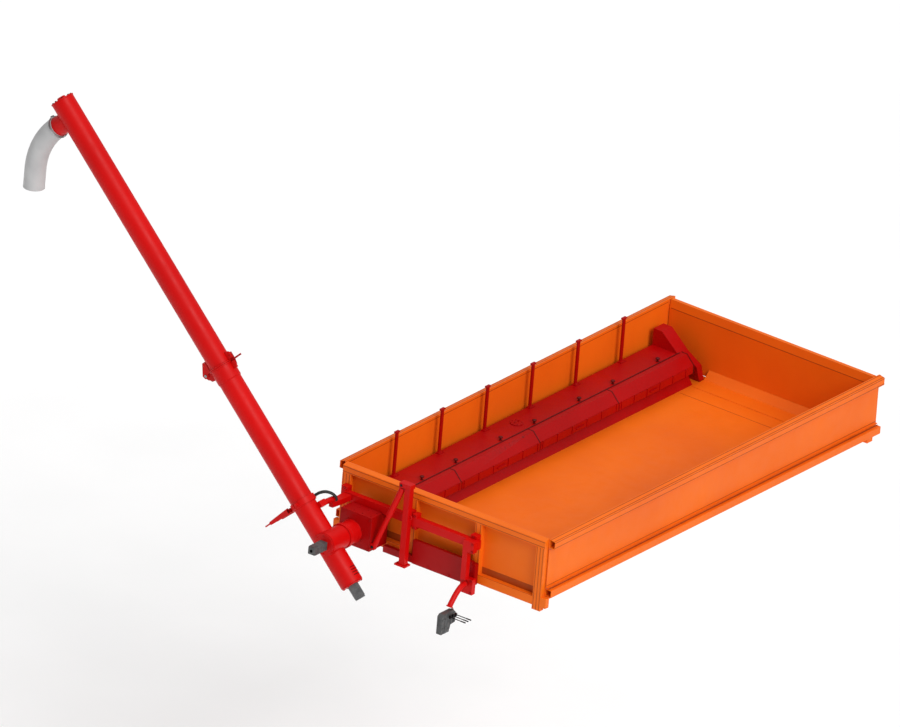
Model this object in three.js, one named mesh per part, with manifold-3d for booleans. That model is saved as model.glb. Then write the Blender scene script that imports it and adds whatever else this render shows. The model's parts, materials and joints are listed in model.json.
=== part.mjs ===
// Open steel truck body with a floor auger along one side and a folding discharge auger.
// Millimetres, +Z up. X runs along the body, the discharge auger stands at the -X end and
// the trough lies along the +Y side. The origin is the plan centre of the body, on the
// underside of the sills.
import * as THREE from 'three';
import { mergeVertices } from 'three/addons/utils/BufferGeometryUtils.js';
import Module from 'manifold-3d';

const wasm = await Module();
wasm.setup();

// ---------------------------------------------------------------- driving dimensions
const GAP = 0.5; // clearance between touching pieces
const SHEET = 5; // sheet steel
const TUBE_R = 109.5; // auger tubes, 219 mm outside
const BORE_R = 105;
const FLIGHT_R = 99;
const SHAFT_R = 24;
const FLOOR_PITCH = 260;
const DISCHARGE_PITCH = 210;
const SCREW_STEPS = 8; // flight segments in a turn

const WALL_X0 = -2487; // inner face of the end wall at the auger end
const WALL_X1 = 2437; // inner face of the headboard
const HALF_W = 1158.5; // inner half width of the body
const RAIL_Y = 1223; // outer face of the side rails
const SIDE_X0 = -2499;
const SIDE_X1 = 2530;
const FRAME_Y = 1149; // half width of end walls and floor frame
const FLOOR_Z = 150;
const RIM_Z = 770;
const POST_IN = 1054; // inner edge of the corner posts

const AXIS_Y = 811; // floor auger axis, also the swing axis
const AXIS_Z = 290;
const HOOD_JOINTS = [-2486, -1340, -140, 1060, 2207];
const COVER_Z = 436;
const STANCHION_X = [-1830, -1137, -445, 248, 941, 1634];
const STANCHION_TOP = 877;

const DISCHARGE = { x: -3105, y: 861, z: 240, tilt: Math.PI / 4 }; // local z runs up the tube
const SWING_X = -2987; // plane between the fixed tube and the swinging tube
const INLET_P = -50 * Math.SQRT2; // floor auger axis in the local frame of the discharge auger
const FOOT_T = -424; // lower end of the discharge tube
const FOLD = { p: 170, t: 1885 }; // fold hinge axis in the local frame
const PIN_R = 14; // fold hinge pin
const HEAD_T = 4710;
const SPOUT_T = 4530;
const SPOUT_BEND = 680;

// ---------------------------------------------------------------- materials
const paint = (color, roughness = 0.45) =>
  new THREE.MeshStandardMaterial({ color, roughness, metalness: 0.1 });
const orange = paint(0xf5701c);
const red = paint(0xd01010);
const darkRed = paint(0xa80808);
const motorGrey = paint(0x5f5f5f, 0.5);
const hoseGrey = paint(0xb8b8b8, 0.6);
const hoseBlack = paint(0x101010, 0.7);
const steel = new THREE.MeshStandardMaterial({ color: 0x9a9a9a, roughness: 0.35, metalness: 0.9 });

// ---------------------------------------------------------------- solid helpers
function toSolid(geometry) {
  const bare = geometry.clone();
  bare.deleteAttribute('normal');
  bare.deleteAttribute('uv');
  const merged = mergeVertices(bare, 1e-3);
  return new wasm.Manifold(new wasm.Mesh({
    numProp: 3,
    vertProperties: new Float32Array(merged.attributes.position.array),
    triVerts: new Uint32Array(merged.index.array),
  }));
}

function toGeometry(solid) {
  const mesh = solid.getMesh();
  const geometry = new THREE.BufferGeometry();
  const positions = new Float32Array(mesh.vertProperties);
  geometry.setAttribute('position', new THREE.BufferAttribute(positions, 3));
  geometry.setIndex(new THREE.BufferAttribute(new Uint32Array(mesh.triVerts), 1));
  geometry.computeVertexNormals();
  return geometry;
}

const join = (...pieces) => toGeometry(pieces.map(toSolid).reduce((a, b) => a.add(b)));

const cut = (base, ...tools) =>
  toGeometry(tools.map(toSolid).reduce((a, b) => a.subtract(b), toSolid(base)));

const overlapOf = (a, b) => toGeometry(toSolid(a).intersect(toSolid(b)));

function box(x0, x1, y0, y1, z0, z1) {
  const geometry = new THREE.BoxGeometry(x1 - x0, y1 - y0, z1 - z0);
  return geometry.translate((x0 + x1) / 2, (y0 + y1) / 2, (z0 + z1) / 2);
}

const outline = (points) => new THREE.Shape(points.map(([a, b]) => new THREE.Vector2(a, b)));

function extrude(shape, depth, xAxis, yAxis, zAxis, origin, curveSegments = 10) {
  const geometry = new THREE.ExtrudeGeometry(shape, { depth, bevelEnabled: false, curveSegments });
  const frame = new THREE.Matrix4().makeBasis(
    new THREE.Vector3(...xAxis), new THREE.Vector3(...yAxis), new THREE.Vector3(...zAxis));
  return geometry.applyMatrix4(frame.setPosition(...origin));
}

// Outlines are (y, z) for alongX, (x, z) for alongY and (x, y) for alongZ.
const alongX = (shape, x0, x1, segments) =>
  extrude(shape, x1 - x0, [0, 1, 0], [0, 0, 1], [1, 0, 0], [x0, 0, 0], segments);
const alongY = (shape, y0, y1, segments) =>
  extrude(shape, y1 - y0, [1, 0, 0], [0, 0, 1], [0, -1, 0], [0, y1, 0], segments);
const alongZ = (shape, z0, z1, segments) =>
  extrude(shape, z1 - z0, [1, 0, 0], [0, 1, 0], [0, 0, 1], [0, 0, z0], segments);

function disc(a, b, radius) {
  const shape = new THREE.Shape();
  shape.absarc(a, b, radius, 0, 2 * Math.PI, false);
  return shape;
}

function ring(a, b, outer, inner) {
  const shape = disc(a, b, outer);
  const hole = new THREE.Path();
  hole.absarc(a, b, inner, 0, 2 * Math.PI, true);
  shape.holes.push(hole);
  return shape;
}

function rod(from, to, radius, sides = 12) {
  const a = new THREE.Vector3(...from);
  const direction = new THREE.Vector3(...to).sub(a);
  const geometry = new THREE.CylinderGeometry(radius, radius, direction.length(), sides);
  geometry.translate(0, direction.length() / 2, 0);
  const up = new THREE.Vector3(0, 1, 0);
  geometry.applyQuaternion(new THREE.Quaternion().setFromUnitVectors(up, direction.normalize()));
  return geometry.translate(a.x, a.y, a.z);
}

// A helical flight round the z axis from z0 to z1, as one closed strip.
function flight(z0, z1, pitch, plate = 5) {
  const steps = Math.floor(((z1 - z0 - plate) / pitch) * SCREW_STEPS);
  const inner = SHAFT_R - 6;
  const positions = [];
  const index = [];
  for (let i = 0; i <= steps; i++) {
    const angle = (2 * Math.PI * (i + 0.5)) / SCREW_STEPS;
    const low = z0 + (pitch * i) / SCREW_STEPS;
    const c = Math.cos(angle);
    const s = Math.sin(angle);
    for (const [r, z] of [[inner, low], [FLIGHT_R, low], [FLIGHT_R, low + plate], [inner, low + plate]]) {
      positions.push(r * c, r * s, z);
    }
  }
  for (let i = 0; i < steps; i++) {
    for (let k = 0; k < 4; k++) {
      const a = 4 * i + k;
      const b = 4 * i + ((k + 1) % 4);
      index.push(a, b + 4, b, a, a + 4, b + 4);
    }
  }
  const last = 4 * steps;
  index.push(0, 2, 3, 0, 1, 2, last, last + 2, last + 1, last, last + 3, last + 2);
  const geometry = new THREE.BufferGeometry();
  geometry.setAttribute('position', new THREE.Float32BufferAttribute(positions, 3));
  geometry.setIndex(index);
  return geometry;
}

function screw(z0, z1, pitch, ...flights) {
  const shaft = alongZ(disc(0, 0, SHAFT_R), z0, z1, SCREW_STEPS / 2);
  return join(shaft, ...flights.map(([a, b]) => flight(a, b, pitch)));
}

const part = new THREE.Group();

function add(name, geometry, material, parent = part) {
  const mesh = new THREE.Mesh(geometry, material);
  mesh.name = name;
  parent.add(mesh);
  return mesh;
}

const mirrored = (points) => points.map(([y, z]) => [-y, z]);

// ---------------------------------------------------------------- truck body
// Two box-section sills, a middle bolster and five box-section crossmembers let into them.
// Each call gives either the outsides (inset 0) or the hollows (inset by the wall).
function subframeBoxes(inset, over) {
  const top = FLOOR_Z - SHEET - GAP;
  const sills = [-400, 400].map((y) =>
    box(-2250 - over, 2250 + over, y - 50 + inset, y + 50 - inset, inset, 101 - inset));
  const members = [-2200, -1100, 0, 1100, 2200].map((x) =>
    box(x - 40 + inset, x + 40 - inset, -1040 - over, 1040 + over, 60 + inset, top - inset));
  const bolster = box(-60 + inset, 60 - inset, -440, 440, inset, 101 - inset);
  return [...sills, ...members, bolster];
}

function subframe() {
  const wall = 6;
  return cut(join(...subframeBoxes(0, 0)), ...subframeBoxes(wall, 10));
}

function topRail(xInner, out) {
  const points = [[0, 686], [65, 686], [65, 757], [13, RIM_Z], [0, RIM_Z]];
  return outline(points.map(([d, z]) => [xInner + out * d, z]));
}

function endWall() {
  const panel = box(WALL_X0 - 8, WALL_X0, -FRAME_Y, FRAME_Y, 250, 700);
  const rail = alongY(topRail(WALL_X0, -1), -FRAME_Y, FRAME_Y);
  const ribs = [-400, 333].map((y) => box(WALL_X0 - 65, WALL_X0 - 2, y - 36, y + 36, 98, 690));
  const beam = box(WALL_X0 - 65, WALL_X0, -POST_IN + GAP, POST_IN - GAP, 98, 182);
  const skirt = box(WALL_X0 - 5, WALL_X0, -FRAME_Y, FRAME_Y, FLOOR_Z, 255);
  const passage = alongX(disc(AXIS_Y, AXIS_Z, TUBE_R + 2), WALL_X0 - 80, WALL_X0 + 10);
  return cut(join(panel, rail, ...ribs, beam, skirt), passage);
}

function headboard() {
  const panel = box(WALL_X1, WALL_X1 + 8, -FRAME_Y, FRAME_Y, 152, 690);
  const rimPoints = [[0, 682], [68, 682], [68, 757], [50, RIM_Z], [12, RIM_Z]];
  const rim = alongY(outline(rimPoints.map(([d, z]) => [WALL_X1 + d, z])), -FRAME_Y, FRAME_Y);
  const ribs = [-620, 0, 620].map((y) => box(WALL_X1 + 2, WALL_X1 + 66, y - 36, y + 36, 152, 700));
  const beam = box(WALL_X1, WALL_X1 + 66, -FRAME_Y, FRAME_Y, 152, 230);
  const posts = [-1, 1].map((side) => {
    const low = Math.min(side * POST_IN, side * FRAME_Y);
    return box(WALL_X1 + 2, SIDE_X1 - 10, low, low + FRAME_Y - POST_IN, 100, 700);
  });
  return join(panel, rim, ...ribs, beam, ...posts);
}

const dropsidePoints = [
  [HALF_W, 281], [HALF_W, RIM_Z], [HALF_W + 10, RIM_Z], [RAIL_Y, 757], [RAIL_Y, 685],
  [HALF_W + 6, 685], [HALF_W + 6, 288], [HALF_W + 24, 288], [HALF_W + 24, 281],
];
const railHollowPoints = [
  [HALF_W + 5, 690], [HALF_W + 5, RIM_Z - 5], [HALF_W + 9, RIM_Z - 5], [RAIL_Y - 5, 753], [RAIL_Y - 5, 690],
];
const ledgePoints = [[1150, 145], [1150, 269], [RAIL_Y, 269], [RAIL_Y, 197], [1156, 197], [1156, 145]];
const ledgeHollowPoints = [[1156, 203], [1156, 263], [RAIL_Y - 6, 263], [RAIL_Y - 6, 203]];

function cornerPost(sideY) {
  const low = Math.min(sideY * POST_IN, sideY * FRAME_Y);
  const post = box(WALL_X0 - 65, WALL_X0 - 8 - GAP, low, low + FRAME_Y - POST_IN, 56, 686 - GAP);
  const footLow = Math.min(sideY * 1140, sideY * 1207);
  const foot = box(WALL_X0 - 65, WALL_X0 - 12, footLow, footLow + 67, 100, 197 - GAP);
  return join(post, foot);
}

function covePlate() {
  const top = FLOOR_Z + GAP;
  const points = [
    [2173, top], [2366, top], [2436.4, 222], [2436.4, 228], [2362, top + 4], [2173, top + 4],
  ];
  return alongY(outline(points), -FRAME_Y, 655);
}

add('subframe', subframe(), orange);
add('floor_plate', box(WALL_X0 + GAP, WALL_X1 - GAP, -FRAME_Y, FRAME_Y, FLOOR_Z - SHEET, FLOOR_Z), orange);
add('end_wall', endWall(), orange);
add('headboard', headboard(), orange);
add('cove_plate', covePlate(), orange);
for (const [label, side] of [['right', -1], ['left', 1]]) {
  const run = (points, over) =>
    alongX(outline(side > 0 ? points : mirrored(points)), SIDE_X0 - over, SIDE_X1 + over);
  add(`dropside_${label}`, cut(run(dropsidePoints, 0), run(railHollowPoints, 10)), orange);
  add(`edge_beam_${label}`, cut(run(ledgePoints, 0), run(ledgeHollowPoints, 10)), orange);
  add(`front_corner_post_${label}`, cornerPost(side), orange);
}

// ---------------------------------------------------------------- trough and floor auger
function troughTub() {
  const inner = BORE_R + 1;
  const outer = inner + SHEET;
  const start = (215 * Math.PI) / 180;
  const under = (218.8 * Math.PI) / 180;
  const shape = new THREE.Shape();
  shape.moveTo(668, FLOOR_Z + GAP);
  shape.lineTo(AXIS_Y + inner * Math.cos(start), AXIS_Z + inner * Math.sin(start));
  shape.absarc(AXIS_Y, AXIS_Z, inner, start, 2 * Math.PI, false);
  shape.lineTo(AXIS_Y + inner, COVER_Z - SHEET - GAP);
  shape.lineTo(AXIS_Y + outer, COVER_Z - SHEET - GAP);
  shape.lineTo(AXIS_Y + outer, AXIS_Z);
  shape.absarc(AXIS_Y, AXIS_Z, outer, 2 * Math.PI, under, true);
  shape.lineTo(674, FLOOR_Z + GAP);
  return alongX(shape, WALL_X0 + GAP, 2207, 10);
}

function troughCover() {
  const low = FLOOR_Z + GAP;
  const points = [
    [AXIS_Y + 1, COVER_Z - SHEET], [1091, COVER_Z - SHEET], [1091, low],
    [1096, low], [1096, COVER_Z], [AXIS_Y + 1, COVER_Z],
  ];
  return alongX(outline(points), WALL_X0 + GAP, 2207);
}

const hoodPoints = [
  [AXIS_Y, COVER_Z], [750, COVER_Z], [665, 350], [665, 270],
  [669, 270], [669, 348.4], [751.7, COVER_Z - 4], [AXIS_Y, COVER_Z - 4],
];

function intakeGate(x0, x1) {
  const plate = box(x0, x1, 660.5, 664.5, 272, 346);
  const grip = box((x0 + x1) / 2 - 60, (x0 + x1) / 2 + 60, 648, 661, 300, 312);
  return join(plate, grip);
}

function endHousing() {
  const slab = alongY(outline([
    [2300, FLOOR_Z + GAP], [2372, FLOOR_Z + GAP], [2320, 316], [2283, 440], [2210, 440], [2236, 345],
  ]), 655, 1100);
  const wedge = box(2135, 2286, AXIS_Y + 1, 1100, COVER_Z + GAP, 600);
  const profile = alongX(outline([
    [660, 150], [665, 316], [1000, 598], [1097, 598], [1097, 150],
  ]), 2100, 2400);
  return overlapOf(join(slab, wedge), profile);
}

function stanchion(x) {
  const foot = box(x - 40, x + 40, 1050, 1096, COVER_Z + GAP, COVER_Z + 7);
  const post = box(x - 16, x + 16, 1074, 1094, COVER_Z + 3, STANCHION_TOP - 6);
  const head = box(x - 30, x + 30, 1070, 1098, STANCHION_TOP - 14, STANCHION_TOP);
  return join(foot, post, head);
}

add('trough_tub', troughTub(), darkRed);
add('trough_cover', troughCover(), darkRed);
add('trough_end_housing', endHousing(), darkRed);
for (let i = 0; i < 4; i++) {
  const x0 = HOOD_JOINTS[i] + 1;
  const x1 = HOOD_JOINTS[i + 1] - 1;
  add(`hood_section_${i + 1}`, alongX(outline(hoodPoints), x0, x1), darkRed);
  add(`intake_gate_${i + 1}`, intakeGate(x0 + 8, x1 - (i === 3 ? 97 : 8)), darkRed);
}
STANCHION_X.forEach((x, i) => add(`stanchion_${i + 1}`, stanchion(x), darkRed));
add('inspection_port', alongZ(disc(-125, 955, 62), COVER_Z + GAP, COVER_Z + 9, 10), darkRed);

// The floor screw turns about X: its helix is made about Z and laid over.
const floorScrew = screw(-3222, 2190, FLOOR_PITCH, [-2990, 2180]);
floorScrew.rotateX(-Math.PI / 2).rotateZ(-Math.PI / 2).translate(0, AXIS_Y, AXIS_Z);
add('floor_screw', floorScrew, steel);

// ---------------------------------------------------------------- transfer box and fixed tube
const BOX_X0 = -2820;
const BOX_X1 = -2556;
const BOX_Y0 = 600;
const BOX_Y1 = 945;

function transferBox() {
  const shell = (inset) => alongY(outline([
    [BOX_X0 + inset, 150 + inset], [BOX_X1 - inset, 150 + inset], [BOX_X1 - inset, 466 - inset],
    [-2652 - inset, 466 - inset], [-2652 - inset, 488 - inset], [BOX_X0 + inset, 488 - inset],
  ]), BOX_Y0 + inset, BOX_Y1 - inset);
  const bore = alongX(disc(AXIS_Y, AXIS_Z, BORE_R), BOX_X0 - 20, WALL_X0 + 20);
  const spigot = alongX(disc(AXIS_Y, AXIS_Z, TUBE_R), BOX_X1 - 3, WALL_X0 - 1);
  return cut(join(shell(0), spigot), shell(6), bore);
}

function swivelCollar() {
  const band = alongX(ring(AXIS_Y, AXIS_Z, TUBE_R + 11, TUBE_R + GAP), SWING_X + 3, SWING_X + 43);
  const lug = box(SWING_X + 8, SWING_X + 38, AXIS_Y - 14, AXIS_Y + 14, AXIS_Z - 150, AXIS_Z - TUBE_R - 6);
  return join(band, lug);
}

add('transfer_box', transferBox(), darkRed);
add('horizontal_tube',
  alongX(ring(AXIS_Y, AXIS_Z, TUBE_R, BORE_R), SWING_X + 2, BOX_X0 - GAP), red);
add('swivel_collar', swivelCollar(), red);

// ---------------------------------------------------------------- frame on the end wall
const FRAME_BACK = WALL_X0 - 65 - GAP; // outer faces of the ribs

function upperBar() {
  const bar = box(-2646, -2590, -470, 1060, 473, 555);
  const brackets = [[-436, -364], [297, 369], [1030, 1100]].map(([y0, y1]) =>
    box(-2620, FRAME_BACK, y0, y1, 440, 590));
  const clampPlate = box(-2646, -2575, 225, 275, 440, 590);
  return join(bar, ...brackets, clampPlate);
}

function lockConsole() {
  const arm = alongZ(outline([
    [-2647, 960], [-2647, 1055], [-2720, 1050], [-2900, 1030], [-2900, 985], [-2740, 965],
  ]), 490, 545);
  const post = box(-2900, -2866, 994, 1028, 540, 578);
  const bar = rod([SWING_X + 6, 1021, 562], [-2865, 1012, 562], 27);
  return join(arm, post, bar);
}

function lowerChannel() {
  const web = box(-2606, -2598, -400, 270, 80, 317);
  const flanges = [80, 309].map((z) => box(-2606, -2570, -400, 270, z, z + 8));
  const leg = box(-2606, FRAME_BACK, -436, -364, 90, 300);
  const inner = box(-2606, FRAME_BACK, 200, 262, 98, 180);
  return join(web, ...flanges, leg, inner);
}

const lowerBar = () => box(-2606, -2562, 271, 599, 84, 149);

function mast() {
  const post = box(-2709, -2647, 280, 342, 66, 870);
  const head = box(-2716, -2640, 272, 400, 840, 886);
  const foot = box(-2722, -2632, 262, 382, 66, 82);
  return join(post, head, foot);
}

function stay() {
  const top = [-2688, 376, 828];
  const bottom = [-2790, 566, 215];
  const middle = top.map((v, i) => v + (bottom[i] - v) * 0.5);
  const eye = box(-2812, -2768, 556, 599, 178, 232);
  return join(rod(top, middle, 29), rod(top, bottom, 24), eye);
}

function rightPost() {
  const post = box(-2704, -2648, -405, -349, 166, 560);
  const top = box(-2704, -2647.5, -470, -349, 452, 560);
  const low = box(-2660, -2608, -457, -321, 18, 172);
  return join(post, top, low);
}

function controlArm() {
  const curve = new THREE.CatmullRomCurve3([
    [-2672, 120], [-2740, 102], [-2800, 58], [-2848, 8], [-2876, -26], [-2889, -48],
  ].map(([x, z]) => new THREE.Vector3(x, -384, z)));
  return new THREE.ExtrudeGeometry(disc(0, 0, 26), {
    steps: 12, bevelEnabled: false, extrudePath: curve, curveSegments: 5,
  });
}

const VALVE_Y0 = -430;
const VALVE_Y1 = -374;

function valveBlock() {
  const block = alongY(outline([
    [-3054, -262], [-2932, -262], [-2915, -200], [-2844, -188], [-2844, -92],
    [-2872, -64], [-3030, -64], [-3054, -84],
  ]), VALVE_Y0, VALVE_Y1);
  const grooves = [-2886, -2928, -2970, -3012].map((x) =>
    box(x - 2, x + 2, VALVE_Y0 - 5, VALVE_Y0 + 6, -270, -60));
  return cut(block, ...grooves);
}

function valveLever(x) {
  const pivot = box(x - 9, x + 9, VALVE_Y0 - 26, VALVE_Y0 - 7, -122, -92);
  return join(pivot, rod([x, VALVE_Y0 - 20, -107], [x, VALVE_Y0 - 190, -107], 6, 8));
}

add('upper_bar', upperBar(), red);
add('lock_console', lockConsole(), red);
add('lower_channel', lowerChannel(), darkRed);
add('lower_bar', lowerBar(), darkRed);
add('mast', mast(), red);
add('stay', stay(), red);
add('right_post', rightPost(), red);
add('control_arm', controlArm(), red);
add('valve_block', valveBlock(), motorGrey);
[-2865, -2907, -2949].forEach((x, i) => add(`valve_lever_${i + 1}`, valveLever(x), steel));

// ---------------------------------------------------------------- discharge auger
// Local frame: x as X, y outward and down (p), z up along the tube (t).
const auger = new THREE.Group();
auger.position.set(DISCHARGE.x, DISCHARGE.y, DISCHARGE.z);
auger.rotation.x = -DISCHARGE.tilt;
part.add(auger);

const localX = (x) => x - DISCHARGE.x;
const INLET_X0 = -125;
const INLET_X1 = localX(SWING_X);

function foldLug(points, x0, x1) {
  return [[x0, x1], [-x1, -x0]].map(([a, b]) => alongX(outline(points), a, b));
}

function lowerTube() {
  const lower = FOLD.t - 1;
  const body = alongZ(disc(0, 0, TUBE_R), FOOT_T, lower, 10);
  const sleeve = alongZ(disc(0, 0, TUBE_R + 7), lower - 144, lower, 10);
  const flange = alongZ(disc(0, 0, TUBE_R + 16), lower - 12, lower, 10);
  const inlet = alongX(disc(INLET_P, 0, TUBE_R), INLET_X0, INLET_X1, 10);
  const lugs = foldLug([
    [98, lower - 84], [98, lower - 4], [135, lower - 1], [148, lower + 20], [190, lower + 20],
    [194, lower - 24], [150, lower - 74],
  ], 44, 54);
  const lockLug = box(30, INLET_X1 - 4, -146, -84, 312, 372);
  const latchLug = box(-6, 6, -168, -112, lower - 84, lower - 14);
  const bore = alongZ(disc(0, 0, BORE_R), FOOT_T - 10, lower + 10, 10);
  const inletBore = alongX(disc(INLET_P, 0, BORE_R), INLET_X0 - 10, INLET_X1 + 10, 10);
  const pinHole = alongX(disc(FOLD.p, FOLD.t, PIN_R + GAP), -80, 80, 6);
  return cut(join(body, sleeve, flange, inlet, ...lugs, lockLug, latchLug), bore, inletBore, pinHole);
}

function upperTube() {
  const lower = FOLD.t + 1;
  const body = alongZ(disc(0, 0, TUBE_R), lower, HEAD_T, 10);
  const flange = alongZ(disc(0, 0, TUBE_R + 16), lower, lower + 12, 10);
  const stub = alongY(disc(0, SPOUT_T, 93.5), 60, 232, 10);
  const lugs = foldLug([
    [96, lower + 114], [96, lower + 4], [135, lower + 1], [148, lower - 22], [196, lower - 22],
    [206, lower + 14], [130, lower + 114],
  ], 56, 66);
  const latchLug = box(-6, 6, -172, -106, lower + 14, lower + 88);
  const latchPin = rod([-6, -150, lower + 44], [20, -150, lower + 44], 8, 10);
  const bore = alongZ(disc(0, 0, BORE_R), lower - 10, HEAD_T + 10, 10);
  const stubBore = alongY(disc(0, SPOUT_T, 89), 0, 260, 10);
  const pinHole = alongX(disc(FOLD.p, FOLD.t, PIN_R + 1.2), -80, 80, 6);
  return cut(join(body, flange, stub, ...lugs, latchLug, latchPin), bore, stubBore, pinHole);
}

function latchLever() {
  const base = FOLD.t + 1;
  return alongX(outline([
    [-164, base - 60], [-128, base - 60], [-128, base + 33], [-160, base + 33], [-160, base + 55],
    [-128, base + 55], [-128, base + 66], [-176, base + 66], [-176, base + 4], [-267, base + 4],
    [-267, base - 12], [-176, base - 12],
  ]), 8, 18);
}

function clampRing() {
  const band = alongZ(ring(0, 0, TUBE_R + 14, TUBE_R + GAP), 410, 470, 10);
  const ears = [-1, 1].map((side) => {
    const low = Math.min(side * 116, side * 150);
    return box(low, low + 34, -40, 20, 425, 455);
  });
  return join(band, ...ears);
}

// Two prongs that the folded upper tube would lie against.
function foldCradle() {
  const prongs = [-1, 1].map((side) => box(side * 88 - 8, side * 88 + 8, 128, 402, 412, 468));
  const bridge = box(-96, 96, 128, 140, 420, 460);
  const pins = [-1, 1].map((side) => rod([side * 88, 398, 440], [side * 88, 470, 440], 7, 8));
  return join(...prongs, bridge, ...pins);
}

function lowerMotor() {
  const flange = alongZ(disc(0, 0, TUBE_R - 4), FOOT_T - 14, FOOT_T - GAP, 10);
  const square = outline([[-70, 0], [0, -70], [70, 0], [0, 70]]);
  return join(flange, alongZ(square, FOOT_T - 155, FOOT_T - 10));
}

function floorMotor() {
  const flange = alongX(disc(INLET_P, 0, TUBE_R - 4), INLET_X0 - 12, INLET_X0 - GAP, 10);
  const body = alongX(outline([
    [INLET_P - 54, 0], [INLET_P, -54], [INLET_P + 54, 0], [INLET_P, 54],
  ]), INLET_X0 - 205, INLET_X0 - 8);
  return join(flange, body);
}

function topBearing() {
  const plate = alongZ(disc(0, 0, TUBE_R + 4), HEAD_T + GAP, HEAD_T + 12);
  const hub = alongZ(disc(0, 0, 42), HEAD_T + 8, HEAD_T + 34, 8);
  return join(plate, hub);
}

// The hose runs straight off the stub, bends by 45 degrees and hangs plumb.
function spoutHose() {
  const start = 232;
  const points = [[200, SPOUT_T], [216, SPOUT_T]];
  for (let i = 0; i <= 6; i++) {
    const angle = (i / 6) * (Math.PI / 4);
    points.push([start + SPOUT_BEND * Math.sin(angle), SPOUT_T - SPOUT_BEND * (1 - Math.cos(angle))]);
  }
  const [endY, endZ] = points[points.length - 1];
  for (const run of [60, 120, 180]) {
    points.push([endY + run * Math.SQRT1_2, endZ - run * Math.SQRT1_2]);
  }
  const curve = new THREE.CatmullRomCurve3(points.map(([y, z]) => new THREE.Vector3(0, y, z)));
  return new THREE.ExtrudeGeometry(ring(0, 0, 100.5, 96.2), {
    steps: 12, bevelEnabled: false, extrudePath: curve, curveSegments: 8,
  });
}

add('lower_tube', lowerTube(), red, auger);
add('lower_screw',
  screw(FOOT_T + 4, FOLD.t - 4, DISCHARGE_PITCH, [FOOT_T + 20, -102], [102, FOLD.t - 12]), steel, auger);
add('lower_motor', lowerMotor(), motorGrey, auger);
add('floor_motor', floorMotor(), motorGrey, auger);
add('clamp_ring', clampRing(), red, auger);
add('fold_cradle', foldCradle(), red, auger);
add('fold_hinge_pin', alongX(disc(FOLD.p, FOLD.t, PIN_R), -74, 74, 6), steel, auger);
add('latch_lever', latchLever(), darkRed, auger);
add('upper_tube', upperTube(), red, auger);
add('upper_screw',
  screw(FOLD.t + 4, HEAD_T - 6, DISCHARGE_PITCH, [FOLD.t + 12, SPOUT_T + 60]), steel, auger);
add('top_bearing', topBearing(), red, auger);
add('spout_hose', spoutHose(), hoseGrey, auger);
add('spout_clamp', alongY(ring(0, SPOUT_T, 109, 103.8), 204, 222, 8), steel, auger);

// ---------------------------------------------------------------- hydraulic hoses
// Held at both ends: on the lock console and on the clamp ring of the discharge auger.
function hydraulicHose(shift) {
  const route = [
    [-2868, 968, 560], [-2872, 978, 590], [-2896, 1012, 622], [-2930, 1056, 634],
    [-2962, 1096, 622], [-2982, 1122, 600], [-2990, 1130, 592],
  ];
  const curve = new THREE.CatmullRomCurve3(
    route.map(([x, y, z]) => new THREE.Vector3(x + 0.8 * shift, y + 0.6 * shift, z)));
  return new THREE.ExtrudeGeometry(disc(0, 0, 10), {
    steps: 12, bevelEnabled: false, extrudePath: curve, curveSegments: 4,
  });
}

[0, 22].forEach((shift, i) => add(`hydraulic_hose_${i + 1}`, hydraulicHose(shift), hoseBlack));

export default part;
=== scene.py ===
"""Looks of the truck body with a floor auger and a folding discharge auger.

Metres, in the row frame: +X along the body, +Y towards the floor auger, +Z up.
The discharge auger has its own frame: x as X, p outward and down, t up along the tube.
"""

import json
import math
import random

import bmesh
import bpy
from mathutils import Matrix, Vector

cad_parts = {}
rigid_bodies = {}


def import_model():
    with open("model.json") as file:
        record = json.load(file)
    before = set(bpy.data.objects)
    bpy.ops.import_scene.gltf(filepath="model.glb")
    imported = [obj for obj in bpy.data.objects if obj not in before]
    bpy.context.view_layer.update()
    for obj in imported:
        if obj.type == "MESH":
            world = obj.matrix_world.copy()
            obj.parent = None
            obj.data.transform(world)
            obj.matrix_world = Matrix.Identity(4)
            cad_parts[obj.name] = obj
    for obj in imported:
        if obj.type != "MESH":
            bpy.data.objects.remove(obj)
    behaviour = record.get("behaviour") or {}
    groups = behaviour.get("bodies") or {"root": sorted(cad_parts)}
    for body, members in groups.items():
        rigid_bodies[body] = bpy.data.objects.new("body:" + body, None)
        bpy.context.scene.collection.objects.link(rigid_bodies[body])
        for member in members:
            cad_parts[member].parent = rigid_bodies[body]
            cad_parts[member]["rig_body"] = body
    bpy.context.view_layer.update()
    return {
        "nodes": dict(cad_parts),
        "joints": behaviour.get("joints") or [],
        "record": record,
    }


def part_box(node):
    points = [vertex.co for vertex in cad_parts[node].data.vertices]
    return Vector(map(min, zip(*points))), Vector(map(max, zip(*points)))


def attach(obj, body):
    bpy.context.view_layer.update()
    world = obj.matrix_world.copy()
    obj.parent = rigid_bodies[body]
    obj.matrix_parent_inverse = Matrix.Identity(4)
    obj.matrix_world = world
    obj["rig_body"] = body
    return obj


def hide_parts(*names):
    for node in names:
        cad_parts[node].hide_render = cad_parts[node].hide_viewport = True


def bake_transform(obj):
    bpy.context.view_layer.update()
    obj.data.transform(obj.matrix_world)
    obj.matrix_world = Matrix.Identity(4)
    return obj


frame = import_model()
nodes = frame["nodes"]
joints = {joint["name"]: joint for joint in frame["joints"]}

X = Vector((1, 0, 0))
Y = Vector((0, 1, 0))
Z = Vector((0, 0, 1))
SMOOTH_ANGLE = math.radians(32)

# ---------------------------------------------------------------- camera
RIGHT = Vector((0.5958, -0.7996, 0.0750))
UP = Vector((0.2983, 0.3070, 0.9037))
BACK = Vector((-0.7456, -0.5160, 0.4214))
FRAME_WIDTH = 8.182  # metres across the picture
CAMERA_RIGHT, CAMERA_UP, CAMERA_DISTANCE = -1.4113, 1.1934, 20

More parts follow.
